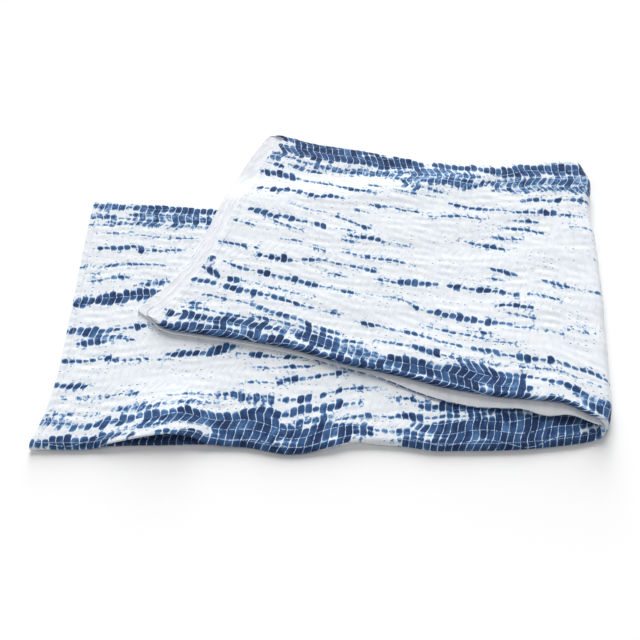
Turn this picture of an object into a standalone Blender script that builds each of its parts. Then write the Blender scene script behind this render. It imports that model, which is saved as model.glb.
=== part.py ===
"""A tie-dye throw, lying folded on a flat surface.

The cloth is one sheet. It is folded in three along its length, like a letter, which gives a strip
of three layers, and the strip is folded over once near its middle, with the upper half turned a
little aside. Metres, +Z up, origin at the bottom centre of the folded throw.
"""

import math

import bmesh
import bpy
import numpy as np

# The cloth, and how its layers lie
THICKNESS = 0.0030
LAYER_PITCH = 0.0044
CROOK_RADIUS = 0.0065
INNER_THIRD_SHARE = 0.60
PLAN_CENTRE = (0.0234, 0.1061)

# Edges of the lower half of the strip, seen from above: (x, y)
LOWER_NEAR = [
    (-0.420, -0.2075), (-0.355, -0.2075), (-0.297, -0.2045), (-0.227, -0.2030), (-0.167, -0.2020),
    (-0.116, -0.2030), (-0.043, -0.2145), (0.015, -0.2070), (0.058, -0.1990), (0.116, -0.2020),
    (0.173, -0.2100), (0.260, -0.2090), (0.348, -0.2020), (0.430, -0.1870),
]
LOWER_FAR = [(-0.388, 0.259), (-0.292, 0.253), (-0.171, 0.243), (0.020, 0.246), (0.220, 0.282), (0.450, 0.330)]

# Edges of the upper half, which starts at the fold on the right: (x, y)
UPPER_NEAR = [
    (-0.285, 0.030), (-0.263, 0.013), (-0.249, -0.002), (-0.229, -0.011), (-0.186, -0.018), (-0.112, -0.030),
    (-0.054, -0.043), (0.045, -0.076), (0.120, -0.097), (0.178, -0.116), (0.265, -0.135), (0.351, -0.146),
    (0.393, -0.168), (0.430, -0.187),
]
UPPER_FAR = [
    (-0.091, 0.432), (-0.055, 0.415), (-0.018, 0.402), (0.054, 0.386), (0.125, 0.368), (0.196, 0.354),
    (0.266, 0.341), (0.337, 0.335), (0.409, 0.335), (0.450, 0.335),
]

# Ends and fold of the strip: (share of the way from its near edge to its far edge, x)
LEFT_END = [(0.00, -0.418), (0.10, -0.405), (0.28, -0.395), (0.48, -0.393), (0.86, -0.390), (1.00, -0.387)]
UPPER_END = [(0.00, -0.285), (0.12, -0.255), (0.28, -0.212), (0.57, -0.167), (0.84, -0.125), (1.00, -0.091)]
FOLD = [
    (0.00, 0.419), (0.04, 0.426), (0.14, 0.432), (0.35, 0.442), (0.60, 0.453), (0.82, 0.457),
    (0.93, 0.467), (1.00, 0.458),
]
FOLD_FACING = math.radians(-6.0)

# The free hem of the top third in the lower half: (x, reach past the fold under it, lift, curl over it)
LOWER_HEM = [
    (-0.420, 0.009, 0.000, 150.0), (-0.330, 0.009, 0.000, 150.0), (-0.300, 0.003, 0.003, 80.0),
    (-0.218, -0.005, 0.012, 0.0), (-0.185, -0.002, 0.006, 30.0), (-0.160, 0.006, 0.001, 120.0),
    (-0.125, 0.009, 0.000, 150.0), (-0.030, 0.010, 0.000, 150.0), (0.036, 0.004, 0.001, 100.0),
    (0.095, 0.009, 0.000, 150.0), (0.430, 0.009, 0.000, 150.0),
]

# The same hem in the upper half, where it hangs out from under the others: (x, reach)
UPPER_HEM = [
    (-0.285, 0.004), (-0.108, 0.007), (0.068, 0.008), (0.149, 0.018), (0.221, 0.022), (0.294, 0.017),
    (0.335, 0.023), (0.379, 0.011), (0.430, 0.008),
]
UPPER_HEM_CURL = -22.0
HEM_SHARE = 0.08
LIFT_SHARE = 0.28

# How the upper half comes down from the fold, and off the lower half's far edge
SINK_NEAR, SINK_FAR = 0.42, 0.15
DROP_START, DROP_END = 0.010, 0.090

# Mesh steps
LOWER_STEPS, FOLD_STEPS, UPPER_STEPS = 27, 9, 21
THIRD_STEPS, INNER_STEPS = 10, 7
NEAR_FOLD_STEPS, FAR_FOLD_STEPS, HEM_STEPS = 5, 6, 4

# The middle of the lowest layer, of the upper half where it comes down beside the lower one, and of
# the lower half's top layer. The slope's even thickness needs the clearance to stay off the floor.
SLOPE_CLEARANCE = 0.0001
BOTTOM_MIDDLE = THICKNESS / 2
DROPPED_MIDDLE = BOTTOM_MIDDLE + SLOPE_CLEARANCE
LOWER_TOP_MIDDLE = BOTTOM_MIDDLE + 2 * LAYER_PITCH


def through(points, places, column=1):
    """Reads a smooth curve through a table's points, by its first column, with no overshoot."""
    table = np.array(points)
    at, value = table[:, 0], table[:, column]
    chord = np.diff(value) / np.diff(at)
    before, after = chord[:-1], chord[1:]
    same_way = before * after > 0
    middle = np.where(same_way, 2 * before * after / np.where(same_way, before + after, 1), 0)
    slope = np.concatenate([chord[:1], middle, chord[-1:]])
    left = np.clip(np.searchsorted(at, places) - 1, 0, len(at) - 2)
    span = at[left + 1] - at[left]
    t = np.clip((places - at[left]) / span, 0, 1)
    rise = value[left + 1] - value[left]
    start, end = slope[left] * span, slope[left + 1] * span
    inside = value[left] + t * (start + t * (3 * rise - 2 * start - end + t * (start + end - 2 * rise)))
    return inside + slope[0] * np.minimum(places - at[0], 0) + slope[-1] * np.maximum(places - at[-1], 0)


def ease(start, end, value):
    t = np.clip((value - start) / (end - start), 0, 1)
    return t * t * (3 - 2 * t)


def section_across():
    """The strip from edge to edge of the cloth: (kind, share across, way) for each row of points.

    The inner third starts at its free edge and runs to the near fold, the outer third runs to the
    far fold, and the top third comes back to its hem. A fold's way is the angle that it has turned.
    """
    inner = [("inner", share, 0.0) for share in np.linspace(INNER_THIRD_SHARE, 0, INNER_STEPS + 1)]
    near = [("near fold", 0.0, turn) for turn in np.linspace(0, math.pi, NEAR_FOLD_STEPS + 1)[1:-1]]
    outer = [("outer", share, 0.0) for share in np.linspace(0, 1, THIRD_STEPS + 1)]
    far = [("far fold", 1.0, turn) for turn in np.linspace(0, math.pi, FAR_FOLD_STEPS + 1)[1:-1]]
    top = [("top", share, 0.0) for share in np.linspace(1, HEM_SHARE, THIRD_STEPS)]
    hem = [("hem", HEM_SHARE, way) for way in np.linspace(0, 1, HEM_STEPS + 1)[1:]]
    return inner + near + outer + far + top + hem


def between(table_near, table_far, x, share):
    near = through(table_near, x)
    return near + share * (through(table_far, x) - near)


def fold_start(share):
    """Where the straight part of the strip ends and its turn over itself starts."""
    outside = CROOK_RADIUS + 2 * LAYER_PITCH + THICKNESS / 2
    return through(FOLD, share) - outside * math.cos(FOLD_FACING)


def lower_run(share, off, way):
    """Points of the lower half: off is how far their layer lies outside the top third."""
    left = through(LEFT_END, share)
    x = left + way * (fold_start(share) - left)
    return x, between(LOWER_NEAR, LOWER_FAR, x, share), LOWER_TOP_MIDDLE - off + 0 * x


def fold_run(share, off, way):
    """Points of the turn from the lower half to the upper half."""
    turn = math.pi * way
    radius = CROOK_RADIUS + off
    start = fold_start(share)
    below = between(LOWER_NEAR, LOWER_FAR, start, share)
    above = between(UPPER_NEAR, UPPER_FAR, start, share)
    x = start + radius * np.sin(turn) * math.cos(FOLD_FACING)
    y = below + way * (above - below) + radius * np.sin(turn) * math.sin(FOLD_FACING)
    return x, y, LOWER_TOP_MIDDLE + CROOK_RADIUS - radius * np.cos(turn)


def upper_run(share, off, way):
    """Points of the upper half. The outer layers end short by what they spend on the longer turn."""
    start = fold_start(share)
    x = start + way * (through(UPPER_END, share) + math.pi * np.maximum(off, 0) - start)
    y = between(UPPER_NEAR, UPPER_FAR, x, share)
    fade = SINK_FAR + (SINK_NEAR - SINK_FAR) * (1 - share) ** 2
    resting = LOWER_TOP_MIDDLE + LAYER_PITCH
    over = resting + (2 * CROOK_RADIUS - LAYER_PITCH) * (1 - ease(0, fade, start - x))
    drop = ease(DROP_START, DROP_END, y - through(LOWER_FAR, x))
    return x, y, over + (DROPPED_MIDDLE - over) * drop + off


def hem_line(run, way, x):
    """The top third's hem: its reach past the near fold, its lift and its curl."""
    lower = np.array([through(LOWER_HEM, x, column) for column in (1, 2, 3)])
    upper = np.array([through(UPPER_HEM, x), 0 * x, 0 * x + UPPER_HEM_CURL])
    turned = {lower_run: 0.0, fold_run: way, upper_run: 1.0}[run]
    return lower + turned * (upper - lower)


def row_points(kind, share, way_across, run, way):
    """One row of the cloth's middle along one stage of its length."""
    near = np.array(run(0.0, 0.0, way)[:2])
    far = np.array(run(1.0, 0.0, way)[:2])
    width = np.hypot(*(far - near))
    reach, lift, curl = hem_line(run, way, near[0])
    sideways, off = 0.0, {"inner": 1.0, "outer": 2.0}.get(kind, 0.0) * LAYER_PITCH
    if kind == "near fold":
        sideways = -0.5 * LAYER_PITCH * math.sin(way_across)
        off = (1.5 - 0.5 * math.cos(way_across)) * LAYER_PITCH
    elif kind == "far fold":
        sideways = LAYER_PITCH * math.sin(way_across)
        off = (1 + math.cos(way_across)) * LAYER_PITCH
    elif kind == "hem":
        past = (reach + HEM_SHARE * width) * way_across - HEM_SHARE * width
        share = np.maximum(-past, 0) / width
        hanging = np.maximum(past, 0)
        sideways = -hanging * np.sinc(curl * hanging / math.pi)
        off = hanging * np.sinc(curl * hanging / 2 / math.pi) * np.sin(curl * hanging / 2)
    x, y, z = run(share, off, way)
    if kind in ("top", "hem"):
        z = z + lift * (1 - ease(0, LIFT_SHARE, share))
    along = (far - near) / width
    x = x + sideways * along[0] - PLAN_CENTRE[0]
    y = y + sideways * along[1] - PLAN_CENTRE[1]
    return np.stack([x, y, z], axis=-1)


def cloth_grid():
    stages = [
        (lower_run, np.linspace(0, 1, LOWER_STEPS + 1)),
        (fold_run, np.linspace(0, 1, FOLD_STEPS + 1)[1:-1]),
        (upper_run, np.linspace(0, 1, UPPER_STEPS + 1)),
    ]
    return np.array([
        np.concatenate([row_points(kind, share, way_across, run, way) for run, way in stages])
        for kind, share, way_across in section_across()
    ])


def cloth_material():
    material = bpy.data.materials.new("dyed cotton")
    material.use_nodes = True
    shader = material.node_tree.nodes["Principled BSDF"]
    shader.inputs["Base Color"].default_value = (0.55, 0.62, 0.76, 1.0)
    shader.inputs["Roughness"].default_value = 0.9
    shader.inputs["Metallic"].default_value = 0.0
    return material


def make_throw():
    points = cloth_grid()
    rows, columns = len(points), len(points[0])
    mesh = bpy.data.meshes.new("throw")
    shape = bmesh.new()
    bmesh.ops.create_grid(shape, x_segments=columns - 1, y_segments=rows - 1, size=1.0)
    shape.verts.ensure_lookup_table()
    for index, vertex in enumerate(shape.verts):
        vertex.co = points[index // columns][index % columns]
    shape.to_mesh(mesh)
    shape.free()
    throw = bpy.data.objects.new("throw", mesh)
    bpy.context.collection.objects.link(throw)
    solid = throw.modifiers.new("thickness", "SOLIDIFY")
    solid.thickness = THICKNESS
    solid.offset = 0.0
    solid.use_even_offset = True
    mesh.materials.append(cloth_material())
    return throw


def main():
    for old in list(bpy.data.objects):
        bpy.data.objects.remove(old, do_unlink=True)
    make_throw()


main()
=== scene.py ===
"""The looks of the tie-dye throw, as it lies in the photograph.

The cloth is one sheet: a dyed face, a plain reverse, and a rounded rim where they meet. Its shape
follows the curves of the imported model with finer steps, and every mark on the face has its place on
the cloth itself, so the pattern runs on round the folds. Metres, +Z up, in the model's frame.
"""

import math

import bpy
import numpy as np
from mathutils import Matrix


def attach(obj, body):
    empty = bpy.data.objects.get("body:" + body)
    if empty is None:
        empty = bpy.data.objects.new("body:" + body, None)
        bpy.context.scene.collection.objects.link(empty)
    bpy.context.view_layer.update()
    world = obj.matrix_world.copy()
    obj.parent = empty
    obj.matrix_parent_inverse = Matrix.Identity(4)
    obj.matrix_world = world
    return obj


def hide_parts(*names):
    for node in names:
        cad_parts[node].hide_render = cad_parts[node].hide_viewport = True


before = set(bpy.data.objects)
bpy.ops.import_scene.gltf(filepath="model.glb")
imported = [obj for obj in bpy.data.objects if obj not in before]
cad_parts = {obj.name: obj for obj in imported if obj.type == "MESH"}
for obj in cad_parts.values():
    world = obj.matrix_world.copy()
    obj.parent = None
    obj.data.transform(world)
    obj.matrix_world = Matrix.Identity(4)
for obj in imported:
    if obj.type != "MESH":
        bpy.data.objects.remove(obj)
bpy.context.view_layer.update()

# The cloth, and how its layers lie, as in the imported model
THICKNESS = 0.0030
LAYER_PITCH = 0.0044
CROOK_RADIUS = 0.0065
INNER_THIRD_SHARE = 0.60
PLAN_CENTRE = (0.0234, 0.1061)

# Edges of the lower half of the strip, seen from above: (x, y)
LOWER_NEAR = [
    (-0.420, -0.2075), (-0.355, -0.2075), (-0.297, -0.2045), (-0.227, -0.2030), (-0.167, -0.2020),
    (-0.116, -0.2030), (-0.043, -0.2145), (0.015, -0.2070), (0.058, -0.1990), (0.116, -0.2020),
    (0.173, -0.2100), (0.260, -0.2090), (0.348, -0.2020), (0.430, -0.1870),
]
LOWER_FAR = [(-0.388, 0.259), (-0.292, 0.253), (-0.171, 0.243), (0.020, 0.246), (0.220, 0.282), (0.450, 0.330)]

# Edges of the upper half, which starts at the fold on the right: (x, y)
UPPER_NEAR = [
    (-0.285, 0.030), (-0.263, 0.013), (-0.249, -0.002), (-0.229, -0.011), (-0.186, -0.018), (-0.112, -0.030),
    (-0.054, -0.043), (0.045, -0.076), (0.120, -0.097), (0.178, -0.116), (0.265, -0.135), (0.351, -0.146),
    (0.393, -0.168), (0.430, -0.187),
]
UPPER_FAR = [
    (-0.091, 0.432), (-0.055, 0.415), (-0.018, 0.402), (0.054, 0.386), (0.125, 0.368), (0.196, 0.354),
    (0.266, 0.341), (0.337, 0.335), (0.409, 0.335), (0.450, 0.335),
]

# Ends and fold of the strip: (share of the way from its near edge to its far edge, x)
LEFT_END = [(0.00, -0.418), (0.10, -0.405), (0.28, -0.395), (0.48, -0.393), (0.86, -0.390), (1.00, -0.387)]
UPPER_END = [(0.00, -0.285), (0.12, -0.255), (0.28, -0.212), (0.57, -0.167), (0.84, -0.125), (1.00, -0.091)]
FOLD = [
    (0.00, 0.419), (0.04, 0.426), (0.14, 0.432), (0.35, 0.442), (0.60, 0.453), (0.82, 0.457),
    (0.93, 0.467), (1.00, 0.458),
]
FOLD_FACING = math.radians(-6.0)

# The free hem of the top third in the lower half: (x, reach past the fold under it, lift, curl over it)
LOWER_HEM = [
    (-0.420, 0.009, 0.000, 150.0), (-0.330, 0.009, 0.000, 150.0), (-0.300, 0.003, 0.003, 80.0),
    (-0.218, -0.005, 0.012, 0.0), (-0.185, -0.002, 0.006, 30.0), (-0.160, 0.006, 0.001, 120.0),
    (-0.125, 0.009, 0.000, 150.0), (-0.030, 0.010, 0.000, 150.0), (0.036, 0.004, 0.001, 100.0),
    (0.095, 0.009, 0.000, 150.0), (0.430, 0.009, 0.000, 150.0),
]

# The same hem in the upper half, where it hangs out from under the others: (x, reach)
UPPER_HEM = [
    (-0.285, 0.004), (-0.108, 0.007), (0.068, 0.008), (0.149, 0.018), (0.221, 0.022), (0.294, 0.017),
    (0.335, 0.023), (0.379, 0.011), (0.430, 0.008),
]
UPPER_HEM_CURL = -22.0
HEM_SHARE = 0.08
LIFT_SHARE = 0.28

# How the upper half comes down from the fold, and off the lower half's far edge
SINK_NEAR, SINK_FAR = 0.42, 0.15
DROP_START, DROP_END = 0.010, 0.090

BOTTOM_MIDDLE = THICKNESS / 2
DROPPED_MIDDLE = BOTTOM_MIDDLE + 0.0001
LOWER_TOP_MIDDLE = BOTTOM_MIDDLE + 2 * LAYER_PITCH

# Mesh steps in metres along and across the cloth
FINE_ALONG, FINE_ACROSS = 0.0033, 0.0017
COARSE = 0.0052
RIM_STEPS = 6
RIM_BULGE = 0.0013
FLOOR_GAP = 0.0003

# The dye's lattice: its pitch along the cloth, and how far apart its rows lie
LATTICE_PITCH = 0.0112
ROW_PITCH = 0.0170
HEM_WIDTH = 0.0105
STITCH_LENGTH = 0.0040

# Colours of the photograph, as sRGB numbers from 0 to 255
GROUND = (239, 243, 247)
GROUND_SHADED = (232, 237, 244)
REVERSE = (238, 240, 244)
REVERSE_SHADED = (229, 232, 238)
INK_DARK = (24, 48, 90)
INK_MIDDLE = (47, 83, 131)
INK_LIGHT = (84, 126, 175)
BLEED = (165, 194, 224)
CLOTH_ALBEDO = 0.90

# Camera: the photograph's angle, in the model's frame
CAMERA_PLACE = (-0.0234, -1.01844, 1.28251)
CAMERA_TILT = math.radians(36.0)
CAMERA_LENS = 56.25
CAMERA_SENSOR = 36.0

# The studio's light: even from above, and bright near the horizon, where the floor ends
SKY_LIGHT, HORIZON_LIGHT = 0.20, 1.0

# Marks on the upper half's face: (way from the fold, share across, way, share, half thickness as a share)
UPPER_STRONG = [
    (0.00, 0.970, 0.34, 0.965, 0.030), (0.34, 0.975, 0.50, 0.985, 0.015), (0.56, 0.980, 0.73, 0.955, 0.035),
    (0.73, 0.955, 0.97, 0.945, 0.038), (0.975, 0.870, 0.985, 0.870, 0.022), (0.95, 0.840, 0.985, 0.835, 0.010),
    (0.89, 0.790, 0.98, 0.785, 0.019), (0.13, 0.760, 0.24, 0.765, 0.008), (0.145, 0.765, 0.165, 0.768, 0.018),
    (0.26, 0.770, 0.425, 0.780, 0.008), (0.725, 0.778, 0.745, 0.778, 0.012), (0.73, 0.715, 0.78, 0.710, 0.011),
    (0.79, 0.705, 0.90, 0.705, 0.011), (0.90, 0.700, 0.97, 0.675, 0.012), (0.17, 0.675, 0.27, 0.690, 0.007),
    (0.26, 0.590, 0.33, 0.605, 0.009), (0.59, 0.545, 0.62, 0.545, 0.016), (0.62, 0.545, 0.68, 0.540, 0.006),
    (0.72, 0.560, 0.80, 0.565, 0.010), (0.82, 0.560, 0.88, 0.560, 0.009), (0.89, 0.555, 0.97, 0.555, 0.010),
    (0.895, 0.550, 0.915, 0.550, 0.017), (0.24, 0.480, 0.31, 0.500, 0.006), (0.935, 0.480, 0.98, 0.485, 0.006),
    (0.27, 0.400, 0.30, 0.403, 0.008), (0.30, 0.402, 0.42, 0.403, 0.009), (0.42, 0.400, 0.48, 0.390, 0.007),
    (0.45, 0.395, 0.52, 0.375, 0.011), (0.52, 0.370, 0.58, 0.365, 0.006), (0.60, 0.400, 0.62, 0.402, 0.009),
    (0.74, 0.395, 0.79, 0.375, 0.008), (0.79, 0.365, 0.87, 0.350, 0.014), (0.90, 0.380, 1.00, 0.375, 0.006),
    (0.18, 0.335, 0.20, 0.340, 0.007), (0.20, 0.340, 0.23, 0.347, 0.007), (0.23, 0.347, 0.28, 0.343, 0.007),
    (0.24, 0.265, 0.27, 0.270, 0.006), (0.27, 0.270, 0.31, 0.270, 0.013), (0.31, 0.270, 0.44, 0.275, 0.014),
    (0.44, 0.275, 0.48, 0.285, 0.006), (0.72, 0.280, 0.90, 0.275, 0.012), (0.90, 0.280, 0.93, 0.285, 0.007),
    (0.80, 0.220, 0.88, 0.225, 0.007), (0.89, 0.225, 0.95, 0.225, 0.010), (0.95, 0.230, 1.00, 0.250, 0.008),
    (0.00, 0.125, 0.05, 0.135, 0.008), (0.05, 0.140, 0.13, 0.130, 0.010), (0.13, 0.135, 0.23, 0.140, 0.013),
    (0.23, 0.140, 0.27, 0.145, 0.005), (0.27, 0.155, 0.33, 0.155, 0.010), (0.42, 0.165, 0.48, 0.170, 0.009),
    (0.53, 0.170, 0.58, 0.165, 0.007), (0.64, 0.180, 0.66, 0.180, 0.006), (0.72, 0.175, 0.79, 0.180, 0.008),
    (0.79, 0.185, 0.90, 0.185, 0.013), (0.90, 0.190, 1.00, 0.195, 0.010), (0.62, 0.098, 0.70, 0.105, 0.009),
    (0.70, 0.110, 0.78, 0.115, 0.011), (0.78, 0.120, 0.85, 0.135, 0.006), (0.32, 0.100, 0.45, 0.115, 0.010),
    (0.28, 0.080, 0.33, 0.090, 0.012), (0.08, 0.050, 0.22, 0.070, 0.010), (0.24, 0.045, 0.30, 0.050, 0.030),
    (0.28, 0.042, 0.38, 0.042, 0.046), (0.38, 0.040, 0.50, 0.035, 0.032), (0.60, 0.045, 0.70, 0.050, 0.026),
    (0.73, 0.050, 0.93, 0.045, 0.020), (0.66, 0.000, 0.95, 0.000, 0.030), (0.93, 0.050, 1.00, 0.055, 0.014),
    (0.20, -0.010, 0.66, -0.010, 0.024),
    (0.64, 0.595, 0.66, 0.600, 0.008), (0.20, 0.065, 0.28, 0.070, 0.012), (0.60, 0.070, 0.70, 0.085, 0.010),
    (0.38, 0.905, 0.42, 0.905, 0.010), (0.70, 1.000, 1.00, 1.000, 0.024), (0.99, 0.280, 1.00, 0.300, 0.005),
]
UPPER_PLAIN = [
    (0.03, 0.830, 0.22, 0.820, 0.008), (0.46, 0.830, 0.50, 0.840, 0.007), (0.53, 0.840, 0.55, 0.840, 0.018),
    (0.49, 0.862, 0.51, 0.866, 0.007), (0.48, 0.802, 0.59, 0.808, 0.004), (0.64, 0.810, 0.67, 0.810, 0.006),
    (0.06, 0.760, 0.10, 0.760, 0.005), (0.65, 0.770, 0.76, 0.780, 0.008), (0.17, 0.720, 0.25, 0.725, 0.006),
    (0.325, 0.73, 0.39, 0.725, 0.006), (0.39, 0.725, 0.485, 0.705, 0.007), (0.60, 0.715, 0.65, 0.710, 0.006),
    (0.00, 0.690, 0.01, 0.690, 0.009), (0.03, 0.705, 0.08, 0.710, 0.004), (0.23, 0.635, 0.30, 0.645, 0.006),
    (0.65, 0.670, 0.69, 0.670, 0.005), (0.75, 0.630, 0.86, 0.630, 0.006), (0.33, 0.605, 0.38, 0.610, 0.005),
    (0.66, 0.600, 0.74, 0.620, 0.004), (0.525, 0.545, 0.58, 0.545, 0.005), (0.68, 0.565, 0.72, 0.560, 0.005),
    (0.81, 0.515, 0.90, 0.530, 0.005), (0.65, 0.515, 0.70, 0.515, 0.005), (0.00, 0.455, 0.05, 0.455, 0.006),
    (0.10, 0.450, 0.17, 0.455, 0.007), (0.27, 0.450, 0.30, 0.455, 0.004), (0.52, 0.465, 0.57, 0.465, 0.008),
    (0.58, 0.460, 0.63, 0.460, 0.009), (0.64, 0.455, 0.68, 0.460, 0.008), (0.13, 0.390, 0.19, 0.395, 0.004),
    (0.21, 0.395, 0.27, 0.395, 0.005), (0.62, 0.400, 0.74, 0.400, 0.004), (0.66, 0.345, 0.70, 0.350, 0.004),
    (0.18, 0.295, 0.26, 0.315, 0.004), (0.20, 0.260, 0.24, 0.255, 0.005), (0.48, 0.292, 0.54, 0.302, 0.003),
    (0.54, 0.302, 0.60, 0.290, 0.003), (0.60, 0.285, 0.66, 0.285, 0.005), (0.66, 0.283, 0.72, 0.280, 0.003),
    (0.29, 0.225, 0.33, 0.225, 0.005), (0.29, 0.200, 0.44, 0.213, 0.005), (0.23, 0.190, 0.28, 0.193, 0.004),
    (0.33, 0.155, 0.40, 0.160, 0.005), (0.48, 0.165, 0.53, 0.165, 0.004), (0.66, 0.177, 0.72, 0.175, 0.004),
    (0.85, 0.135, 0.95, 0.140, 0.004), (0.45, 0.110, 0.53, 0.110, 0.005), (0.54, 0.080, 0.60, 0.075, 0.008),
    (0.20, 0.022, 0.27, 0.025, 0.020), (0.80, 0.075, 0.95, 0.080, 0.006), (0.70, 0.080, 0.80, 0.085, 0.006),
    (0.93, 0.100, 0.97, 0.100, 0.004), (0.83, 0.850, 0.93, 0.860, 0.008), (0.42, 0.905, 0.50, 0.900, 0.010),
    (0.45, 0.950, 0.55, 0.940, 0.020), (0.00, 0.030, 0.05, 0.020, 0.030), (0.73, 0.445, 0.77, 0.450, 0.004),
    (0.80, 0.460, 0.85, 0.455, 0.004), (0.51, 0.715, 0.59, 0.715, 0.004), (0.77, 0.785, 0.88, 0.790, 0.006),
]
UPPER_PALE = [
    (0.00, 0.915, 0.34, 0.905, 0.028), (0.60, 0.900, 0.80, 0.885, 0.024), (0.00, 0.052, 0.08, 0.040, 0.018),
    (0.02, 0.585, 0.03, 0.585, 0.007), (0.06, 0.285, 0.10, 0.285, 0.005), (0.12, 0.250, 0.20, 0.258, 0.005),
    (0.72, 0.220, 0.79, 0.220, 0.005), (0.50, 0.040, 0.60, 0.045, 0.028), (0.93, 0.285, 1.00, 0.300, 0.005),
    (0.00, 0.880, 0.30, 0.875, 0.018), (0.34, 0.935, 0.46, 0.935, 0.016), (0.55, 0.930, 0.62, 0.920, 0.020),
    (0.80, 0.885, 0.90, 0.890, 0.016), (0.34, 0.890, 0.62, 0.880, 0.022), (0.42, 0.920, 0.60, 0.915, 0.018), (0.28, 0.040, 0.36, 0.110, 0.012), (0.66, 0.050, 0.74, 0.060, 0.018),
    (0.05, 0.100, 0.30, 0.105, 0.006), (0.93, 0.900, 1.00, 0.900, 0.014), (0.53, 0.855, 0.58, 0.860, 0.012),
]

# Marks on the lower half's face: (way from the left end, share across, way, share, half thickness as a share)
LOWER_STRONG = [
    (0.04, 0.985, 0.30, 0.990, 0.020), (0.15, 0.930, 0.27, 0.942, 0.017), (0.08, 0.925, 0.15, 0.930, 0.010),
    (0.03, 0.785, 0.10, 0.795, 0.010), (0.11, 0.780, 0.16, 0.785, 0.010), (0.00, 0.530, 0.04, 0.550, 0.022),
    (0.04, 0.550, 0.16, 0.588, 0.026), (0.00, 0.420, 0.10, 0.430, 0.014), (0.10, 0.430, 0.15, 0.450, 0.008),
    (0.02, 0.410, 0.11, 0.400, 0.010), (0.035, 0.37, 0.08, 0.385, 0.014), (0.00, 0.300, 0.09, 0.310, 0.010),
    (0.20, 0.330, 0.30, 0.345, 0.012), (0.28, 0.355, 0.32, 0.365, 0.012), (0.34, 0.335, 0.45, 0.335, 0.008),
    (0.00, 0.205, 0.07, 0.205, 0.012), (0.42, 0.170, 0.50, 0.180, 0.011), (0.44, 0.130, 0.55, 0.130, 0.016),
    (0.02, 0.055, 0.10, 0.060, 0.012), (0.10, 0.060, 0.18, 0.075, 0.020), (0.18, 0.085, 0.25, 0.090, 0.022),
    (0.20, 0.075, 0.30, 0.070, 0.036), (0.30, 0.060, 0.45, 0.050, 0.050), (0.45, 0.040, 0.55, 0.030, 0.036),
    (0.01, 0.000, 0.16, 0.002, 0.022), (0.24, -0.010, 0.56, -0.010, 0.030), (0.64, 0.085, 0.70, 0.090, 0.012), (0.68, 0.130, 0.80, 0.120, 0.020),
    (0.70, 0.050, 1.00, 0.050, 0.045), (0.52, 0.015, 0.60, 0.010, 0.016), (0.66, -0.005, 1.00, -0.005, 0.030), (0.42, 0.245, 0.46, 0.250, 0.008),
    (0.46, 0.255, 0.53, 0.255, 0.008), (0.35, 0.100, 0.45, 0.120, 0.018),
]
LOWER_PLAIN = [
    (0.00, 0.895, 0.05, 0.895, 0.005), (0.03, 0.855, 0.08, 0.860, 0.004), (0.10, 0.850, 0.22, 0.850, 0.003),
    (0.10, 0.790, 0.14, 0.790, 0.006), (0.16, 0.790, 0.20, 0.795, 0.005), (0.035, 0.70, 0.09, 0.715, 0.005),
    (0.09, 0.718, 0.165, 0.715, 0.006), (0.02, 0.670, 0.04, 0.670, 0.006), (0.02, 0.635, 0.10, 0.660, 0.006),
    (0.40, 0.295, 0.47, 0.300, 0.005), (0.35, 0.220, 0.42, 0.235, 0.005), (0.21, 0.165, 0.29, 0.165, 0.005),
    (0.50, 0.185, 0.60, 0.190, 0.005), (0.37, 0.100, 0.45, 0.120, 0.016), (0.15, 0.020, 0.20, 0.035, 0.005),
    (0.53, 0.075, 0.64, 0.080, 0.006), (0.70, 0.090, 0.80, 0.100, 0.010), (0.80, 0.110, 1.00, 0.120, 0.014),
    (0.55, 0.030, 0.70, 0.025, 0.010), (0.04, 0.400, 0.12, 0.390, 0.008), (0.36, 0.285, 0.40, 0.290, 0.005),
]
LOWER_PALE = [
    (0.00, 0.985, 0.08, 0.980, 0.020), (0.08, 0.950, 0.28, 0.950, 0.024), (0.04, 0.908, 0.26, 0.908, 0.014),
    (0.00, 0.935, 0.10, 0.930, 0.012), (0.00, 0.070, 0.06, 0.060, 0.022), (0.00, 0.690, 0.01, 0.700, 0.007),
    (0.13, 0.625, 0.175, 0.64, 0.010), (0.09, 0.305, 0.20, 0.310, 0.008), (0.02, 0.155, 0.13, 0.170, 0.006),
    (0.13, 0.170, 0.15, 0.175, 0.010), (0.13, 0.110, 0.20, 0.120, 0.016), (0.30, 0.170, 0.35, 0.170, 0.015),
    (0.33, 0.155, 0.42, 0.170, 0.014), (0.62, 0.150, 0.70, 0.145, 0.008), (0.16, 0.030, 0.24, 0.040, 0.016),
    (0.45, 0.080, 0.50, 0.090, 0.020), (0.00, 0.095, 0.10, 0.100, 0.006), (0.20, 0.130, 0.30, 0.135, 0.008),
]
# How dark each kind of mark is. The darkest is dye with painted shade on top, for the shadow under the lifted hem.
STRENGTHS = {"dye_and_painted_shade": 1.45, "strong": 1.0, "plain": 0.86, "pale": 0.5}


def through(points, places, column=1):
    """Reads a smooth curve through a table's points, by its first column, with no overshoot."""
    table = np.array(points)
    at, value = table[:, 0], table[:, column]
    chord = np.diff(value) / np.diff(at)
    before, after = chord[:-1], chord[1:]
    same_way = before * after > 0
    middle = np.where(same_way, 2 * before * after / np.where(same_way, before + after, 1), 0)
    slope = np.concatenate([chord[:1], middle, chord[-1:]])
    left = np.clip(np.searchsorted(at, places) - 1, 0, len(at) - 2)
    span = at[left + 1] - at[left]
    t = np.clip((places - at[left]) / span, 0, 1)
    rise = value[left + 1] - value[left]
    start, end = slope[left] * span, slope[left + 1] * span
    inside = value[left] + t * (start + t * (3 * rise - 2 * start - end + t * (start + end - 2 * rise)))
    return inside + slope[0] * np.minimum(places - at[0], 0) + slope[-1] * np.maximum(places - at[-1], 0)


def ease(start, end, value):
    t = np.clip((value - start) / (end - start), 0, 1)
    return t * t * (3 - 2 * t)


def between(table_near, table_far, x, share):
    near = through(table_near, x)
    return near + share * (through(table_far, x) - near)


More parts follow.
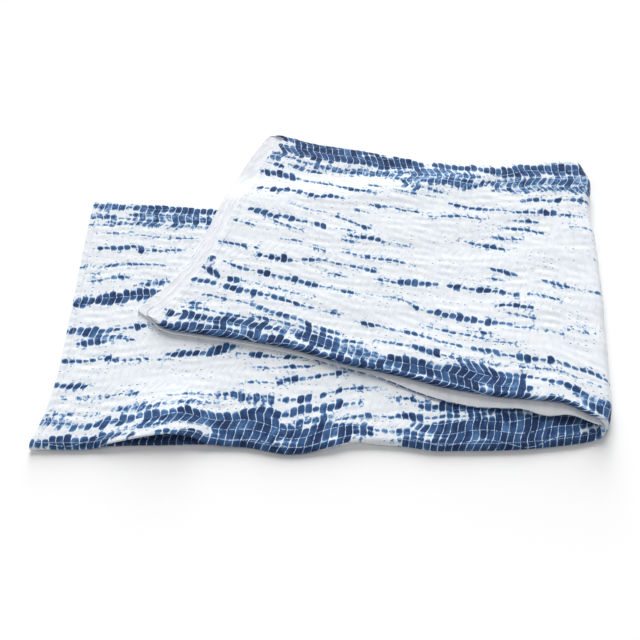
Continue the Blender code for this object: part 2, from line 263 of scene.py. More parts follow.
def fold_start(share):
    """Where the straight part of the strip ends and its turn over itself starts."""
    outside = CROOK_RADIUS + 2 * LAYER_PITCH + THICKNESS / 2
    return through(FOLD, share) - outside * math.cos(FOLD_FACING)


def lower_run(share, off, way):
    """Points of the lower half: off is how far their layer lies outside the top third."""
    left = through(LEFT_END, share)
    x = left + way * (fold_start(share) - left)
    return x, between(LOWER_NEAR, LOWER_FAR, x, share), LOWER_TOP_MIDDLE - off + 0 * x


def fold_run(share, off, way):
    """Points of the turn from the lower half to the upper half."""
    turn = math.pi * way
    radius = CROOK_RADIUS + off
    start = fold_start(share)
    below = between(LOWER_NEAR, LOWER_FAR, start, share)
    above = between(UPPER_NEAR, UPPER_FAR, start, share)
    x = start + radius * np.sin(turn) * math.cos(FOLD_FACING)
    y = below + way * (above - below) + radius * np.sin(turn) * math.sin(FOLD_FACING)
    return x, y, LOWER_TOP_MIDDLE + CROOK_RADIUS - radius * np.cos(turn)


def upper_run(share, off, way):
    """Points of the upper half. The outer layers end short by what they spend on the longer turn."""
    start = fold_start(share)
    x = start + way * (through(UPPER_END, share) + math.pi * np.maximum(off, 0) - start)
    y = between(UPPER_NEAR, UPPER_FAR, x, share)
    fade = SINK_FAR + (SINK_NEAR - SINK_FAR) * (1 - share) ** 2
    resting = LOWER_TOP_MIDDLE + LAYER_PITCH
    over = resting + (2 * CROOK_RADIUS - LAYER_PITCH) * (1 - ease(0, fade, start - x))
    drop = ease(DROP_START, DROP_END, y - through(LOWER_FAR, x))
    return x, y, over + (DROPPED_MIDDLE - over) * drop + off


def hem_line(run, way, x):
    """The top third's hem: its reach past the near fold, its lift and its curl."""
    lower = np.array([through(LOWER_HEM, x, column) for column in (1, 2, 3)])
    upper = np.array([through(UPPER_HEM, x), 0 * x, 0 * x + UPPER_HEM_CURL])
    turned = {lower_run: 0.0, fold_run: way, upper_run: 1.0}[run]
    return lower + turned * (upper - lower)


def upper_span(share):
    return fold_start(share) - through(UPPER_END, share)


# The strip's lengths on the flat cloth, taken along its middle
LOWER_LENGTH = float(fold_start(0.5) - through(LEFT_END, 0.5))
UPPER_LENGTH = float(upper_span(0.5))
TURN_LENGTH = math.pi * CROOK_RADIUS
THIRD_WIDTH = 0.478
NEAR_TURN = math.pi * LAYER_PITCH / 2
FAR_TURN = math.pi * LAYER_PITCH
HEM_REACH = 0.009
CLOTH_LENGTH = LOWER_LENGTH + TURN_LENGTH + UPPER_LENGTH
CLOTH_START = -NEAR_TURN - INNER_THIRD_SHARE * THIRD_WIDTH
CLOTH_END = 2 * THIRD_WIDTH + FAR_TURN + HEM_REACH


def layer_off(kind, turn):
    if kind == "near fold":
        return (1.5 - 0.5 * math.cos(turn)) * LAYER_PITCH
    if kind == "far fold":
        return (1 + math.cos(turn)) * LAYER_PITCH
    return {"inner": 1.0, "outer": 2.0}.get(kind, 0.0) * LAYER_PITCH


def across_place(kind, share, way_across):
    """How far across the flat cloth a row lies, from the near fold's end at the outer third."""
    return {
        "inner": -NEAR_TURN - share * THIRD_WIDTH,
        "near fold": -NEAR_TURN * (1 - way_across / math.pi),
        "outer": share * THIRD_WIDTH,
        "far fold": THIRD_WIDTH + FAR_TURN * way_across / math.pi,
        "top": THIRD_WIDTH + FAR_TURN + (1 - share) * THIRD_WIDTH,
        "hem": CLOTH_END - (1 - way_across) * (HEM_REACH + HEM_SHARE * THIRD_WIDTH),
    }[kind]


def along_place(kind, turn, run, way):
    """How far along the flat cloth each point of a row lies, from the left end."""
    extra = math.pi * layer_off(kind, turn)
    if run is lower_run:
        return way * LOWER_LENGTH
    if run is fold_run:
        return LOWER_LENGTH + way * (TURN_LENGTH + extra)
    return LOWER_LENGTH + TURN_LENGTH + extra + way * (UPPER_LENGTH - extra)


def row_points(kind, share, way_across, run, way):
    """One row of the cloth's middle along one stage of its length: x, y, z, along, across."""
    near = np.array(run(0.0, 0.0, way)[:2])
    far = np.array(run(1.0, 0.0, way)[:2])
    width = np.hypot(*(far - near))
    reach, lift, curl = hem_line(run, way, near[0])
    place = across_place(kind, share, way_across) + 0 * way
    sideways, off = 0.0, layer_off(kind, way_across)
    if kind == "near fold":
        sideways = -0.5 * LAYER_PITCH * math.sin(way_across)
    elif kind == "far fold":
        sideways = LAYER_PITCH * math.sin(way_across)
    elif kind == "hem":
        past = (reach + HEM_SHARE * width) * way_across - HEM_SHARE * width
        share = np.maximum(-past, 0) / width
        hanging = np.maximum(past, 0)
        sideways = -hanging * np.sinc(curl * hanging / math.pi)
        off = hanging * np.sinc(curl * hanging / 2 / math.pi) * np.sin(curl * hanging / 2)
    x, y, z = run(share, off, way)
    if kind in ("top", "hem"):
        z = z + lift * (1 - ease(0, LIFT_SHARE, share))
    along = (far - near) / width
    x = x + sideways * along[0] - PLAN_CENTRE[0]
    y = y + sideways * along[1] - PLAN_CENTRE[1]
    return np.stack([x, y, z, along_place(kind, way_across, run, way), place], axis=-1)


def rows_of(kind, step):
    """The rows of one part of the strip's section: (kind, share across, way), step metres apart."""
    spans = {
        "inner": (INNER_THIRD_SHARE, 0, INNER_THIRD_SHARE * THIRD_WIDTH), "near fold": (0, math.pi, NEAR_TURN),
        "outer": (0, 1, THIRD_WIDTH), "far fold": (0, math.pi, FAR_TURN),
        "top": (1, HEM_SHARE, (1 - HEM_SHARE) * THIRD_WIDTH), "hem": (0, 1, HEM_SHARE * THIRD_WIDTH + HEM_REACH),
    }
    start, end, length = spans[kind]
    fewest = 9 if "fold" in kind else 4
    places = np.linspace(start, end, max(fewest, round(length / step)) + 1)
    shares = {"near fold": 0.0, "far fold": 1.0, "hem": HEM_SHARE}
    if kind in shares:
        return [(kind, shares[kind], place) for place in places]
    return [(kind, place, 0.0) for place in places]


def cloth_grid(kinds, runs, across_step, along_step):
    """The cloth's middle as rows of points (x, y, z, along, across), from these parts of it."""
    lengths = {lower_run: LOWER_LENGTH, fold_run: TURN_LENGTH + 2 * math.pi * LAYER_PITCH, upper_run: UPPER_LENGTH}
    rows = []
    for kind in kinds:
        rows += rows_of(kind, across_step)[bool(rows):]
    stages = [(run, np.linspace(0, 1, max(20, round(lengths[run] / along_step)) + 1)) for run in runs]
    stages = [(run, ways[index > 0:]) for index, (run, ways) in enumerate(stages)]
    return np.array([
        np.concatenate([row_points(*row, run, ways) for run, ways in stages])
        for row in rows
    ])


def waves(along, across, length_along, length_across, seed, count=7):
    """A smooth uneven field from about -1 to 1, with features of about these lengths."""
    draw = np.random.default_rng(seed)
    total = 0 * along
    for _ in range(count):
        turn_along, turn_across = draw.uniform(0.55, 1.5, 2) * draw.choice([-1, 1], 2)
        angle = 2 * math.pi * (turn_along * along / length_along + turn_across * across / length_across)
        total = total + np.sin(angle + draw.uniform(0, 2 * math.pi))
    return total / math.sqrt(count)


def lattice_rows(along, across):
    """How many rows of cells across each point lies. The rows wander a little."""
    return across / ROW_PITCH + 0.22 * waves(along, across, 0.16, 0.15, 11)


def lattice(along, across):
    """The dye's lattice: how many pitches along each point lies. Its lines turn at every row."""
    zigzag = np.abs(2 * ((lattice_rows(along, across) / 2) % 1) - 1)
    strength = 0.34 * (0.8 + 0.5 * waves(along, across, 0.30, 0.12, 12)) + 0.22 * (1 - ease(0.20, 0.36, along))
    wander = 0.12 * waves(along, across, 0.20, 0.05, 13) + 0.4 * waves(along, across, 0.8, 0.35, 14)
    upper = along - (CLOTH_LENGTH - UPPER_LENGTH)
    slanted = ease(0.84, 0.90, across / THIRD_WIDTH) * (1 - ease(1.1, 1.2, across / THIRD_WIDTH))
    slanted = slanted * (1 - ease(0.16, 0.24, upper)) * ease(-0.2, 0.0, upper)
    slant = 0.32 * (across - THIRD_WIDTH) / LATTICE_PITCH * slanted
    way = np.clip(upper / UPPER_LENGTH, 0, 1)
    share = np.clip(across / THIRD_WIDTH, 0, 1)
    skew = way * (upper_span(share) - UPPER_LENGTH) / LATTICE_PITCH
    return along / LATTICE_PITCH + strength * zigzag + wander + slant + skew


def edge_distance(along, across):
    sides = np.minimum(across - CLOTH_START, CLOTH_END - across)
    ends = np.minimum(along, CLOTH_LENGTH - along)
    return np.maximum(np.minimum(sides, ends), 0)


def relief(along, across):
    """How far the face stands off the cloth's middle, beyond half its thickness."""
    phase = lattice(along, across)
    folded = np.exp(-((across + NEAR_TURN / 2) / 0.004) ** 2)
    folded = folded + np.exp(-((across - THIRD_WIDTH - FAR_TURN / 2) / 0.008) ** 2)
    edge = edge_distance(along, across)
    uneven = 0.7 + 0.4 * waves(along, across, 0.05, 0.03, 21)
    puffs = np.sin(math.pi * phase) ** 2 * uneven * (0.00020 + 0.00045 * folded)
    wrinkles = 0.00010 * waves(along, across, 0.022, 0.05, 22) + 0.00022 * waves(along, across, 0.09, 0.018, 23)
    hem = 0.00028 * (1 - ease(HEM_WIDTH - 0.001, HEM_WIDTH + 0.001, edge))
    groove = 0.00022 * np.exp(-((edge - HEM_WIDTH) / 0.0011) ** 2)
    return puffs + wrinkles + hem - groove


def grid_normals(points):
    down, along = np.gradient(points, axis=0), np.gradient(points, axis=1)
    normal = np.cross(down, along)
    return normal / np.maximum(np.linalg.norm(normal, axis=-1, keepdims=True), 1e-12)


def swell(along, across, run_up):
    """Soft ridges of the two thirds that show, along the rows of dye."""
    ridges = 0.5 + 0.5 * np.clip(waves(along, across, 0.30, 0.075, 31), -1, 1)
    fade = ease(0.0, 0.03, edge_distance(along, across))
    return run_up * ridges * fade


def charted_marks():
    """Every mark that the photograph shows, on the flat cloth: two ends, half thickness, strength."""
    marks = []
    upper_start = CLOTH_LENGTH - UPPER_LENGTH
    far_edge = THIRD_WIDTH + FAR_TURN
    for strength, table in (("strong", UPPER_STRONG), ("plain", UPPER_PLAIN), ("pale", UPPER_PALE)):
        for way_0, share_0, way_1, share_1, half in table:
            way_0 = way_0 - 0.1 * (way_0 == 0)
            ends = (upper_start + way_0 * UPPER_LENGTH, share_0 * THIRD_WIDTH,
                    upper_start + way_1 * UPPER_LENGTH, share_1 * THIRD_WIDTH)
            marks.append((*ends, half * THIRD_WIDTH, STRENGTHS[strength]))
    for strength, table in (("strong", LOWER_STRONG), ("plain", LOWER_PLAIN), ("pale", LOWER_PALE)):
        for way_0, share_0, way_1, share_1, half in table:
            ends = (way_0 * LOWER_LENGTH, far_edge + (1 - share_0) * THIRD_WIDTH,
                    way_1 * LOWER_LENGTH, far_edge + (1 - share_1) * THIRD_WIDTH)
            marks.append((*ends, half * THIRD_WIDTH, STRENGTHS[strength]))
    return marks


def drawn_marks(start, end, low, high, seed):
    """Marks for a part of the cloth that the photograph hides: broken rows of beads, as the rest has."""
    draw = np.random.default_rng(seed)
    marks = []
    rows = round((high - low) / 0.024)
    for row in range(rows):
        level = low + (row + 0.5) * (high - low) / rows
        place = start + draw.uniform(0, 0.12)
        while place < end - 0.03:
            length = draw.uniform(0.03, 0.13)
            half = draw.choice([0.0017, 0.0024, 0.0036, 0.0056], p=[0.3, 0.3, 0.27, 0.13])
            shift, lean = draw.uniform(-0.003, 0.003), draw.uniform(-0.006, 0.006)
            stop = min(place + length, end)
            strength = STRENGTHS[draw.choice(["strong", "plain"])]
            marks.append((place, level + shift, stop, level + shift + lean, half, strength))
            place = stop + draw.uniform(0.01, 0.16)
    return marks


def drawn_bands(start, end, level, seed):
    """A dark band along a fold, in uneven lengths with gaps, as the folds in the photograph have."""
    draw = np.random.default_rng(seed)
    marks = []
    place = start
    while place < end:
        stop = min(place + draw.uniform(0.08, 0.22), end)
        half = draw.uniform(0.007, 0.020)
        aside = level + draw.uniform(-0.006, 0.006)
        marks.append((place, aside, stop, aside + draw.uniform(-0.005, 0.005), half, 1.0))
        place = stop + draw.choice([-0.01, 0.03])
    return marks


def all_marks():
    far_edge = THIRD_WIDTH + FAR_TURN
    upper_start = CLOTH_LENGTH - UPPER_LENGTH
    marks = charted_marks()
    marks += drawn_marks(0.0, upper_start - 0.07, 0.03, 0.93 * THIRD_WIDTH, 41)
    marks += drawn_marks(0.0, CLOTH_LENGTH, CLOTH_START + 0.01, -0.03, 42)
    marks += drawn_marks(LOWER_LENGTH + 0.02, CLOTH_LENGTH, far_edge + 0.03, CLOTH_END - 0.02, 43)
    marks += drawn_marks(0.27 * LOWER_LENGTH, LOWER_LENGTH, far_edge + 0.03, far_edge + 0.62 * THIRD_WIDTH, 44)
    marks += drawn_bands(0.0, LOWER_LENGTH, 0.012, 45)
    marks += drawn_bands(0.0, LOWER_LENGTH, 0.955 * THIRD_WIDTH, 46)
    marks += drawn_bands(0.0, CLOTH_LENGTH, -0.022, 47)
    marks += drawn_bands(0.32 * LOWER_LENGTH, CLOTH_LENGTH, far_edge + 0.018, 48)
    marks += drawn_bands(LOWER_LENGTH, CLOTH_LENGTH, CLOTH_END - 0.03, 49)
    # A thin dark line along the hem's edge: partly dye, partly a painted shadow under the edge
    marks.append((upper_start + 0.08, CLOTH_END, upper_start + 0.36, CLOTH_END, 0.0016, STRENGTHS["strong"]))
    # A dye band under the lifted hem, made darker than dye alone as painted shade for the shadow that falls there
    marks.append((0.04, -0.012, 0.36, -0.012, 0.026, STRENGTHS["dye_and_painted_shade"]))
    return marks


def dye_fields(along, across):
    """For each point: how far inside the nearest mark it is, that mark's half thickness, and its strength."""
    inside = np.full(along.shape, -0.02)
    half = np.full(along.shape, 0.002)
    strength = np.full(along.shape, 1.0)
    sway = 0.0010 * waves(along, across, 0.07, 0.2, 51)
    for a_0, b_0, a_1, b_1, thick, depth in all_marks():
        margin = thick + 0.012
        near = (along > min(a_0, a_1) - margin) & (along < max(a_0, a_1) + margin)
        near &= (across > min(b_0, b_1) - margin) & (across < max(b_0, b_1) + margin)
        if not near.any():
            continue
        a, b = along[near], across[near] + sway[near]
        run_a, run_b = a_1 - a_0, b_1 - b_0
        t = ((a - a_0) * run_a + (b - b_0) * run_b) / max(run_a ** 2 + run_b ** 2, 1e-9)
        t_inside = np.clip(t, 0, 1)
        gap = np.hypot(0.45 * (a - a_0 - t_inside * run_a), b - b_0 - t_inside * run_b)
        taper = 1 - 0.45 * np.abs(2 * t_inside - 1) ** 3
        here = thick * taper - gap
        better = here > inside[near]
        rows, columns = np.nonzero(near)
        rows, columns = rows[better], columns[better]
        inside[rows, columns] = here[better]
        half[rows, columns] = (thick * taper)[better]
        strength[rows, columns] = depth
    return inside, half, strength


def linear(colour, share=CLOTH_ALBEDO):
    """An sRGB colour, 0 to 255, as the linear one that a shader takes."""
    parts = [part / 255 for part in colour]
    straight = [part / 12.92 if part <= 0.04045 else ((part + 0.055) / 1.055) ** 2.4 for part in parts]
    return (*[share * part for part in straight], 1.0)


class Nodes:
    """Adds nodes to one material. An input is a plain value or another node's socket."""

    def __init__(self, name):
        self.material = bpy.data.materials.new(name)
        self.material.use_nodes = True
        self.tree = self.material.node_tree
        self.shader = self.tree.nodes["Principled BSDF"]

    def put(self, node, key, value):
        if isinstance(value, bpy.types.NodeSocket):
            self.tree.links.new(value, node.inputs[key])
        else:
            node.inputs[key].default_value = value

    def math(self, operation, *values):
        node = self.tree.nodes.new("ShaderNodeMath")
        node.operation = operation
        for key, value in enumerate(values):
            self.put(node, key, value)
        return node.outputs[0]

    def attribute(self, name):
        node = self.tree.nodes.new("ShaderNodeAttribute")
        node.attribute_name = name
        return node.outputs["Fac"]

    def places(self):
        """The flat cloth's own coordinates, along and across, in metres."""
        node = self.tree.nodes.new("ShaderNodeUVMap")
        node.uv_map = "cloth"
        split = self.tree.nodes.new("ShaderNodeSeparateXYZ")
        self.tree.links.new(node.outputs["UV"], split.inputs[0])
        return split.outputs["X"], split.outputs["Y"]

    def point(self, x, y):
        node = self.tree.nodes.new("ShaderNodeCombineXYZ")
        self.put(node, "X", x)
        self.put(node, "Y", y)
        return node.outputs[0]

    def noise(self, x, y, detail=2.0):
        """Smooth noise, about 0.25 to 0.75, that changes about once for each 1 of x or y."""
        node = self.tree.nodes.new("ShaderNodeTexNoise")
        node.noise_dimensions = "2D"
        self.put(node, "Vector", self.point(x, y))
        self.put(node, "Scale", 1.0)
        self.put(node, "Detail", detail)
        return node.outputs[0]

    def chance(self, x, y):
        node = self.tree.nodes.new("ShaderNodeTexWhiteNoise")
        node.noise_dimensions = "2D"
        self.put(node, "Vector", self.point(x, y))
        return node.outputs["Value"]

    def step(self, value, start, end, low=0.0, high=1.0):
        node = self.tree.nodes.new("ShaderNodeMapRange")
        node.interpolation_type = "SMOOTHSTEP"
        for key, number in enumerate((value, start, end, low, high)):
            self.put(node, key, number)
        return node.outputs[0]

    def mix(self, factor, first, second):
        node = self.tree.nodes.new("ShaderNodeMix")
        node.data_type = "RGBA"
        self.put(node, 0, factor)
        self.put(node, 6, first)
        self.put(node, 7, second)
        return node.outputs[2]

    def bump(self, height):
        """Bump from a height in metres."""
        node = self.tree.nodes.new("ShaderNodeBump")
        self.put(node, "Strength", 1.0)
        self.put(node, "Distance", 1.0)
        self.put(node, "Height", height)
        return node.outputs[0]


def cotton_height(n, along, across):
    """The weave and small puckers of the gauze, as a height in metres."""
    puckers = n.noise(n.math("MULTIPLY", along, 190.0), n.math("MULTIPLY", across, 55.0))
    crumple = n.noise(n.math("MULTIPLY", along, 75.0), n.math("MULTIPLY", across, 110.0))
    warp = n.math("SINE", n.math("MULTIPLY", across, 2 * math.pi / 0.0009))
    weft = n.math("SINE", n.math("MULTIPLY", along, 2 * math.pi / 0.0009))
    weave = n.math("MULTIPLY", n.math("MULTIPLY", warp, weft), 0.00002)
    height = n.math("ADD", n.math("MULTIPLY", puckers, 0.0004), n.math("MULTIPLY", crumple, 0.0004))
    return n.math("ADD", height, weave)


def finish_cotton(n, colour, height):
    n.put(n.shader, "Base Color", colour)
    n.put(n.shader, "Roughness", 0.88)
    n.put(n.shader, "Specular IOR Level", 0.25)
    n.put(n.shader, "Sheen Weight", 0.12)
    n.put(n.shader, "Sheen Roughness", 0.5)
    n.put(n.shader, "Normal", n.bump(height))
    return n.material


def dyed_cotton():
    """The face: cells and beads of indigo between thin pale lines, with soft bleeding edges."""
    n = Nodes("dyed cotton")
    along, across = n.places()
    inside, half = n.attribute("inside"), n.attribute("half")
    strength, phase = n.attribute("strength"), n.attribute("phase")
    edge = n.attribute("edge")
    column = n.math("FLOOR", phase)
    off_centre = n.math("ABSOLUTE", n.math("SUBTRACT", n.math("FRACT", phase), 0.5))
    row = n.attribute("row")
    row_off_centre = n.math("ABSOLUTE", n.math("SUBTRACT", n.math("FRACT", row), 0.5))
    thin = n.math("MINIMUM", half, 0.0050)
    fine = n.noise(n.math("MULTIPLY", along, 420.0), n.math("MULTIPLY", across, 420.0), 3.0)
    fleck = n.noise(n.math("MULTIPLY", along, 170.0), n.math("MULTIPLY", across, 170.0), 3.0)
    cloud = n.noise(n.math("MULTIPLY", along, 60.0), n.math("MULTIPLY", across, 45.0), 3.0)

    # Beads: each cell narrows towards the lattice lines, and some cells are smaller than others
    pinch = n.math("MULTIPLY", n.math("MULTIPLY", thin, 0.85), n.math("POWER", n.math("MULTIPLY", off_centre, 2.0), 3.4))
    lively = n.noise(n.math("MULTIPLY", column, 3.7), n.math("MULTIPLY", across, 24.0), 0.0)
    uneven = n.math("MULTIPLY", n.math("SUBTRACT", lively, 0.5), n.math("MULTIPLY", thin, 2.8))
    ragged = n.math("MULTIPLY", n.math("SUBTRACT", fine, 0.5), 0.0016)
    ragged = n.math("ADD", ragged, n.math("MULTIPLY", n.math("SUBTRACT", fleck, 0.5), 0.0028))
    ragged = n.math("MULTIPLY", ragged, n.step(strength, 0.5, 1.0, 2.4, 1.0))
    dyed = n.math("ADD", n.math("SUBTRACT", inside, pinch), n.math("ADD", uneven, ragged))

    # Pale lines between the cells, along and across
    line_edge = n.math("SUBTRACT", 0.460, n.math("MULTIPLY", n.math("SUBTRACT", fleck, 0.5), 0.10))
    line = n.step(n.math("SUBTRACT", off_centre, line_edge), -0.040, 0.025)
    line = n.math("MULTIPLY", line, n.step(fine, 0.30, 0.60, 0.60, 0.95))
    wide = n.step(half, 0.006, 0.011)
    row_line = n.math("MULTIPLY", n.step(row_off_centre, 0.450, 0.485), n.math("MULTIPLY", wide, 0.8))
    row_line = n.math("MULTIPLY", row_line, n.step(fleck, 0.36, 0.54))
    open_share = n.math("MULTIPLY", n.math("SUBTRACT", 1.0, line), n.math("SUBTRACT", 1.0, row_line))

    # How much dye each place took, with painted shade on top in the darkest marks: even inside strong marks,
    # patchy in the paler ones
    cell_chance = n.chance(column, n.math("FLOOR", row))
    patchy = n.math("MULTIPLY", n.math("SUBTRACT", 1.0, strength), n.math("SUBTRACT", fleck, 0.45))
    level = n.math("ADD", n.math("MULTIPLY", strength, 0.80), n.math("MULTIPLY", patchy, 3.0))
    level = n.math("ADD", level, n.math("MULTIPLY", n.math("SUBTRACT", cell_chance, 0.5), 0.42))
    level = n.math("ADD", level, n.math("MULTIPLY", n.math("SUBTRACT", cloud, 0.5), 1.1))
    level = n.math("ADD", level, n.step(dyed, 0.0005, 0.0050, -0.10, 0.16))
    level = n.math("MAXIMUM", level, n.math("MULTIPLY", strength, 0.30))
    amount = n.math("MULTIPLY", n.step(dyed, -0.0018, 0.0019), n.math("MULTIPLY", open_share, level))

    # Bleeding round the marks, in patches that keep to the cells
    smudge = n.math("MULTIPLY", n.step(dyed, -0.0100, 0.0), n.step(fleck, 0.50, 0.66))
    smudge = n.math("MULTIPLY", smudge, n.step(n.math("ADD", cell_chance, cloud), 0.75, 1.25))
    smudge = n.math("MULTIPLY", n.math("MULTIPLY", smudge, 0.55), n.math("SUBTRACT", 1.0, line))
    amount = n.math("MAXIMUM", amount, smudge)

    # Small ticks of dye at the lattice in the rows that took none
    half_row = n.math("FLOOR", n.math("MULTIPLY", row, 2.0))
    tick_row = n.math("ABSOLUTE", n.math("SUBTRACT", n.math("FRACT", n.math("MULTIPLY", row, 2.0)), 0.5))
    tick = n.math("MULTIPLY", n.step(tick_row, 0.09, 0.05), n.step(off_centre, 0.16, 0.09))
    sparse = n.noise(n.math("MULTIPLY", along, 12.0), n.math("MULTIPLY", across, 40.0))
    tick = n.math("MULTIPLY", tick, n.step(sparse, 0.50, 0.58))
    tick = n.math("MULTIPLY", tick, n.step(n.chance(column, half_row), 0.40, 0.55))
    amount = n.math("MAXIMUM", amount, n.math("MULTIPLY", tick, 0.62))

    ground = n.mix(n.step(cloud, 0.35, 0.70), linear(GROUND), linear(GROUND_SHADED))
    colour = n.mix(n.step(amount, 0.02, 0.26), ground, linear(BLEED))
    colour = n.mix(n.step(amount, 0.22, 0.52), colour, linear(INK_LIGHT))
    colour = n.mix(n.step(amount, 0.46, 0.82), colour, linear(INK_MIDDLE))
    colour = n.mix(n.step(amount, 0.78, 1.20), colour, linear(INK_DARK))

    # Stitches along the hem
    stitch = n.math("ABSOLUTE", n.math("SUBTRACT", edge, HEM_WIDTH - 0.0015))
    dash = n.math("FRACT", n.math("DIVIDE", n.math("ADD", along, across), STITCH_LENGTH))
    stitched = n.math("MULTIPLY", n.step(stitch, 0.0007, 0.0003), n.step(dash, 0.25, 0.35))
    colour = n.mix(n.math("MULTIPLY", stitched, 0.5), colour, linear((205, 213, 226)))

    pillow = n.math("MULTIPLY", n.math("POWER", n.math("MULTIPLY", off_centre, 2.0), 4.0), -0.00035)
    height = n.math("ADD", cotton_height(n, along, across), pillow)
    height = n.math("ADD", height, n.math("MULTIPLY", stitched, 0.00025))
    return finish_cotton(n, colour, height)


def plain_cotton():
    """The reverse: undyed gauze with the same puckers."""
    n = Nodes("plain cotton")
    along, across = n.places()
    phase = n.attribute("phase")
    off_centre = n.math("ABSOLUTE", n.math("SUBTRACT", n.math("FRACT", phase), 0.5))
    cloud = n.noise(n.math("MULTIPLY", along, 40.0), n.math("MULTIPLY", across, 40.0), 3.0)
    colour = n.mix(n.step(cloud, 0.35, 0.70), linear(REVERSE), linear(REVERSE_SHADED))
    pillow = n.math("MULTIPLY", n.math("POWER", n.math("MULTIPLY", off_centre, 2.0), 3.0), 0.00050)
    height = n.math("ADD", cotton_height(n, along, across), pillow)
    return finish_cotton(n, colour, height)


def plain_floor():
    n = Nodes("floor")
    n.put(n.shader, "Base Color", (0.905, 0.905, 0.905, 1.0))
    n.put(n.shader, "Roughness", 0.9)
    n.put(n.shader, "Specular IOR Level", 0.1)
    return n.material


def add_mesh(name, points, along, across, material, flip=False, dyed=True):
    """A grid of points as one piece of cloth, with its places on the flat cloth and its dye."""
    rows, columns = along.shape
    corner = np.arange(rows * columns).reshape(rows, columns)
    quads = [corner[:-1, :-1], corner[1:, :-1], corner[1:, 1:], corner[:-1, 1:]]
    quads = np.stack([part.ravel() for part in quads], axis=-1)
    if flip:
        quads = quads[:, ::-1]
    mesh = bpy.data.meshes.new(name)
    mesh.from_pydata(points.reshape(-1, 3).tolist(), [], quads.tolist())
    mesh.polygons.foreach_set("use_smooth", np.ones(len(quads), dtype=bool))
    fields = {
        "phase": lattice(along, across), "row": lattice_rows(along, across), "edge": edge_distance(along, across),
    }
    if dyed:
        fields["inside"], fields["half"], fields["strength"] = dye_fields(along, across)
    for field, values in fields.items():
        attribute = mesh.attributes.new(field, "FLOAT", "POINT")
        attribute.data.foreach_set("value", values.ravel().astype(np.float32))
    places = np.stack([along.ravel(), across.ravel()], axis=-1)[quads.ravel()]
    mesh.uv_layers.new(name="cloth").data.foreach_set("uv", places.astype(np.float32).ravel())
    mesh.materials.append(material)
    piece = bpy.data.objects.new(name, mesh)
    bpy.context.collection.objects.link(piece)
    return piece


def off_floor(points):
    points[..., 2] = np.maximum(points[..., 2], FLOOR_GAP)
    return points


def face_piece(name, kinds, runs, across_step, along_step, run_up, material):
    grid = cloth_grid(kinds, runs, across_step, along_step)
    middle, along, across = grid[..., :3], grid[..., 3], grid[..., 4]
    stand = THICKNESS / 2 + relief(along, across) + swell(along, across, run_up)
    points = off_floor(middle + grid_normals(middle) * stand[..., None])
    return add_mesh(name, points, along, across, material)


def back_piece(grid, material):
    middle, along, across = grid[..., :3], grid[..., 3], grid[..., 4]
    stand = THICKNESS / 2 + 0.6 * relief(along, across)
    points = off_floor(middle - grid_normals(middle) * stand[..., None])
    return add_mesh("back", points, along, across, material, flip=True, dyed=False)


def rim_piece(grid, material):
    """The rounded edge between face and reverse, all the way round the cloth."""
    middle = grid[..., :3]
    normal = grid_normals(middle)
    down = np.gradient(middle, axis=0)
    right = np.gradient(middle, axis=1)
    down = down / np.linalg.norm(down, axis=-1, keepdims=True)
    right = right / np.linalg.norm(right, axis=-1, keepdims=True)
    sides = [
        (np.s_[0, :], -down), (np.s_[:, -1], right), (np.s_[-1, ::-1], down), (np.s_[::-1, 0], -right),
    ]
    places = np.concatenate([grid[line] for line, _ in sides])
    out = np.concatenate([outward[line] for line, outward in sides])
    up = np.concatenate([normal[line] for line, _ in sides])
    places, out, up = (np.concatenate([part, part[:1]]) for part in (places, out, up))
    along, across = places[:, 3], places[:, 4]
    stand = THICKNESS / 2 + relief(along, across)
    rings = []
    for turn in np.linspace(-0.5, 0.5, RIM_STEPS + 1) * math.pi:
        bulge = RIM_BULGE * math.cos(turn) * (0.8 + 0.3 * np.sin(math.pi * lattice(along, across)) ** 2)
        rings.append(places[:, :3] + up * (stand * -math.sin(turn))[:, None] + out * bulge[:, None])
    points = off_floor(np.array(rings))
    along, across = (np.tile(part, (len(rings), 1)) for part in (along, across))
    return add_mesh("rim", points, along, across, material)


def make_cloth():
    face, plain = dyed_cotton(), plain_cotton()
    whole = ("inner", "near fold", "outer", "far fold", "top", "hem")
    all_runs, over = (lower_run, fold_run, upper_run), (fold_run, upper_run)
    grid = cloth_grid(whole, all_runs, COARSE, COARSE)
    back = back_piece(grid, plain)
    others = [
        rim_piece(grid, face),
        face_piece("face_upper", ("near fold", "outer", "far fold"), over, FINE_ACROSS, FINE_ALONG, 0.0012, face),
        face_piece("face_lower", ("far fold", "top", "hem"), (lower_run,), FINE_ACROSS, FINE_ALONG, 0.0004, face),
        face_piece("face_underside", ("near fold", "outer"), (lower_run,), 0.0035, 0.0045, 0.0, face),
        face_piece("face_inner", ("inner",), all_runs, COARSE, COARSE, 0.0, face),
        face_piece("face_upper_inside", ("top", "hem"), over, 0.0035, 0.0045, 0.0, face),
    ]
    for piece in [back, *others]:
        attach(piece, "root")
        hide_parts("throw")


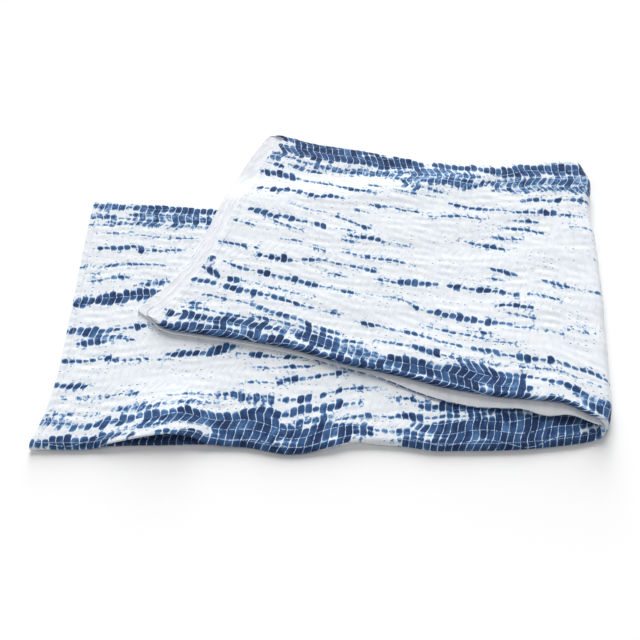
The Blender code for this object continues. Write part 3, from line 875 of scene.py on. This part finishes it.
def make_camera():
    camera = bpy.data.objects.new("camera", bpy.data.cameras.new("camera"))
    bpy.context.collection.objects.link(camera)
    camera.location = CAMERA_PLACE
    camera.rotation_euler = (CAMERA_TILT, 0.0, 0.0)
    camera.data.lens = CAMERA_LENS
    camera.data.sensor_width = CAMERA_SENSOR
    camera.data.clip_end = 50.0
    bpy.context.scene.camera = camera


def add_sun(name, strength, softness, lean, heading):
    """A soft light: lean is its angle from straight overhead, heading the side that it comes from."""
    light = bpy.data.lights.new(name, "SUN")
    light.energy = strength
    light.angle = math.radians(softness)
    sun = bpy.data.objects.new(name, light)
    sun.rotation_euler = (math.radians(lean), 0.0, math.radians(heading))
    bpy.context.collection.objects.link(sun)


def make_stage():
    mesh = bpy.data.meshes.new("floor")
    mesh.from_pydata([(-6, -6, 0), (6, -6, 0), (6, 6, 0), (-6, 6, 0)], [], [(0, 1, 2, 3)])
    mesh.materials.append(plain_floor())
    floor = bpy.data.objects.new("floor", mesh)
    bpy.context.collection.objects.link(floor)
    world = bpy.data.worlds.new("studio")
    world.use_nodes = True
    tree = world.node_tree
    direction = tree.nodes.new("ShaderNodeTexCoord")
    split = tree.nodes.new("ShaderNodeSeparateXYZ")
    height = tree.nodes.new("ShaderNodeMapRange")
    tree.links.new(direction.outputs["Generated"], split.inputs[0])
    tree.links.new(split.outputs["Z"], height.inputs["Value"])
    for key, value in (("From Min", 0.05), ("From Max", 0.30), ("To Min", HORIZON_LIGHT), ("To Max", SKY_LIGHT)):
        height.inputs[key].default_value = value
    tree.links.new(height.outputs[0], tree.nodes["Background"].inputs["Strength"])
    tree.nodes["Background"].inputs["Color"].default_value = (1.0, 1.0, 1.0, 1.0)
    bpy.context.scene.world = world
    bpy.context.scene.view_settings.view_transform = "Standard"
    add_sun("key", 2.62, 36.0, -48.0, 0.0)
    add_sun("low back", 1.70, 24.0, -74.0, 0.0)
    add_sun("fill", 0.62, 60.0, 28.0, -40.0)


make_camera()
make_cloth()
make_stage()
